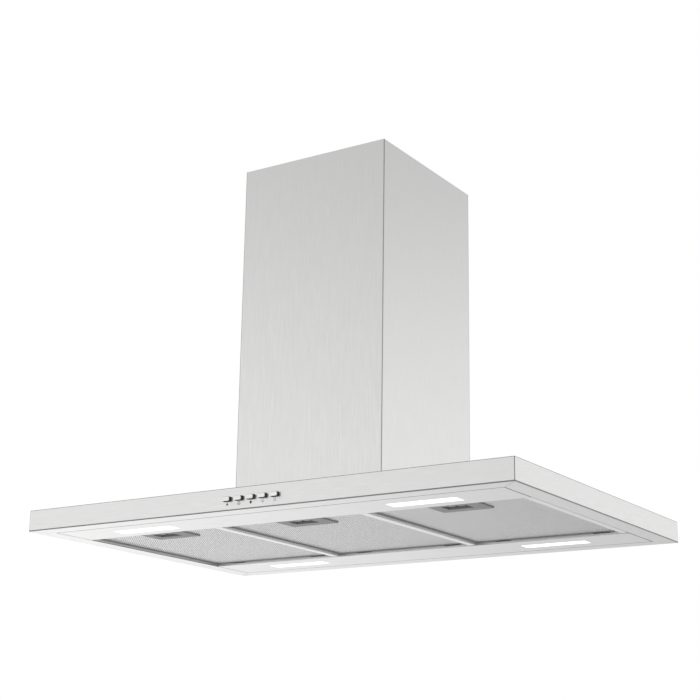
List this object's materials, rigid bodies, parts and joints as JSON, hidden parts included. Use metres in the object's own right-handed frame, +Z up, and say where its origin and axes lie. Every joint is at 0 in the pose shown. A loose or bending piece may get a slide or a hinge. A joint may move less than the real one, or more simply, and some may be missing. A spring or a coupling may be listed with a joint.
{
  "type": "island range hood",
  "caption": "Slim rectangular steel island range hood with three mesh grease filters, four lamps and push buttons under a telescoping box chimney with blower",
  "frame": {"origin": "centre of the canopy's underside", "axes": "+X to the right along the canopy's long side, -Y to the front with the buttons, +Z up to the ceiling"},
  "size_m": [0.9, 0.6058, 0.6325],
  "materials": {
    "black_plastic": "matt",
    "board_green": "satin",
    "board_white": "matt",
    "bright_steel": "bright",
    "button": "satin chrome",
    "filter_frame": "satin",
    "filter_mesh": "expanded mesh",
    "flap_plastic": "matt",
    "galvanised": "galvanised",
    "lamp": "lit diffuser",
    "lamp_housing": "matt",
    "latch_plate": "matt",
    "latch_slider": "matt",
    "motor": "satin",
    "spring": "bright",
    "stainless": "fine brushed"
  },
  "bodies": {
    "canopy": {"canopy_top": "stainless", "front_panel": "stainless", "rear_panel": "stainless", "left_end_panel": "stainless", "right_end_panel": "stainless", "corner_braces": "galvanised", "front_light_strip": "stainless", "rear_light_strip": "stainless", "lamp_lens_front_left": "lamp", "lamp_lens_front_right": "lamp", "lamp_lens_rear_left": "lamp", "lamp_lens_rear_right": "lamp", "lamp_housings": "lamp_housing", "led_boards": "board_white", "control_box": "black_plastic", "switch_housing": "black_plastic", "switch_board": "board_green", "chimney_front": "stainless", "chimney_wrap": "stainless", "lower_frame": "galvanised", "frame_bolts": "bright_steel", "blower_wrap": "galvanised", "blower_side_front": "galvanised", "blower_side_rear": "galvanised", "motor": "motor", "motor_bracket": "galvanised", "outlet_spigot": "galvanised", "flap_pin": "bright_steel", "junction_box": "black_plastic", "cable_gland": "black_plastic"},
    "upper_section": {"upper_chimney": "stainless", "upper_frame": "galvanised", "ceiling_plate": "galvanised"},
    "filter_left": {"filter_frame_left": "filter_frame", "filter_mesh_left": "filter_mesh", "latch_plate_left": "latch_plate", "latch_spring_left": "spring"},
    "latch_left": {"latch_slider_left": "latch_slider"},
    "filter_middle": {"filter_frame_middle": "filter_frame", "filter_mesh_middle": "filter_mesh", "latch_plate_middle": "latch_plate", "latch_spring_middle": "spring"},
    "latch_middle": {"latch_slider_middle": "latch_slider"},
    "filter_right": {"filter_frame_right": "filter_frame", "filter_mesh_right": "filter_mesh", "latch_plate_right": "latch_plate", "latch_spring_right": "spring"},
    "latch_right": {"latch_slider_right": "latch_slider"},
    "blower_rotor": {"impeller_disc": "galvanised", "impeller_rings": "galvanised", "impeller_blades_front": "galvanised", "impeller_blades_rear": "galvanised", "motor_shaft": "bright_steel"},
    "left_flap": {"flap_left": "flap_plastic"},
    "right_flap": {"flap_right": "flap_plastic"},
    "push_button_1": {"button_1": "button"},
    "push_button_2": {"button_2": "button"},
    "push_button_3": {"button_3": "button"},
    "push_button_4": {"button_4": "button"},
    "push_button_5": {"button_5": "button"}
  },
  "joints": [
    {"name": "chimney_extension", "type": "slide", "parent": "canopy", "child": "upper_section", "axis": [0, 0, 1], "range_m": [0, 0.3]},
    {"name": "filter_left_swing", "type": "hinge", "parent": "canopy", "child": "filter_left", "pos_m": [-0.27867, 0.1725, 0.0055], "axis": [1, 0, 0], "range_deg": [0, 60]},
    {"name": "filter_middle_swing", "type": "hinge", "parent": "canopy", "child": "filter_middle", "pos_m": [0, 0.1725, 0.0055], "axis": [1, 0, 0], "range_deg": [0, 60]},
    {"name": "filter_right_swing", "type": "hinge", "parent": "canopy", "child": "filter_right", "pos_m": [0.27867, 0.1725, 0.0055], "axis": [1, 0, 0], "range_deg": [0, 60]},
    {"name": "latch_left_slide", "type": "slide", "parent": "filter_left", "child": "latch_left", "axis": [0, 1, 0], "range_m": [0, 0.005], "stiffness_N_per_m": 400, "deforming": ["latch_spring_left"]},
    {"name": "latch_middle_slide", "type": "slide", "parent": "filter_middle", "child": "latch_middle", "axis": [0, 1, 0], "range_m": [0, 0.005], "stiffness_N_per_m": 400, "deforming": ["latch_spring_middle"]},
    {"name": "latch_right_slide", "type": "slide", "parent": "filter_right", "child": "latch_right", "axis": [0, 1, 0], "range_m": [0, 0.005], "stiffness_N_per_m": 400, "deforming": ["latch_spring_right"]},
    {"name": "impeller_spin", "type": "hinge", "parent": "canopy", "child": "blower_rotor", "pos_m": [0.022, 0, 0.15], "axis": [0, 1, 0], "continuous": true},
    {"name": "left_flap_swing", "type": "hinge", "parent": "canopy", "child": "left_flap", "pos_m": [0, 0, 0.3], "axis": [0, 1, 0], "range_deg": [0, 75]},
    {"name": "right_flap_swing", "type": "hinge", "parent": "canopy", "child": "right_flap", "pos_m": [0, 0, 0.3], "axis": [0, -1, 0], "range_deg": [0, 75]},
    {"name": "button_1_press", "type": "slide", "parent": "canopy", "child": "push_button_1", "axis": [0, 1, 0], "range_m": [0, 0.003], "stiffness_N_per_m": 300},
    {"name": "button_2_press", "type": "slide", "parent": "canopy", "child": "push_button_2", "axis": [0, 1, 0], "range_m": [0, 0.003], "stiffness_N_per_m": 300},
    {"name": "button_3_press", "type": "slide", "parent": "canopy", "child": "push_button_3", "axis": [0, 1, 0], "range_m": [0, 0.003], "stiffness_N_per_m": 300},
    {"name": "button_4_press", "type": "slide", "parent": "canopy", "child": "push_button_4", "axis": [0, 1, 0], "range_m": [0, 0.003], "stiffness_N_per_m": 300},
    {"name": "button_5_press", "type": "slide", "parent": "canopy", "child": "push_button_5", "axis": [0, 1, 0], "range_m": [0, 0.003], "stiffness_N_per_m": 300}
  ]
}
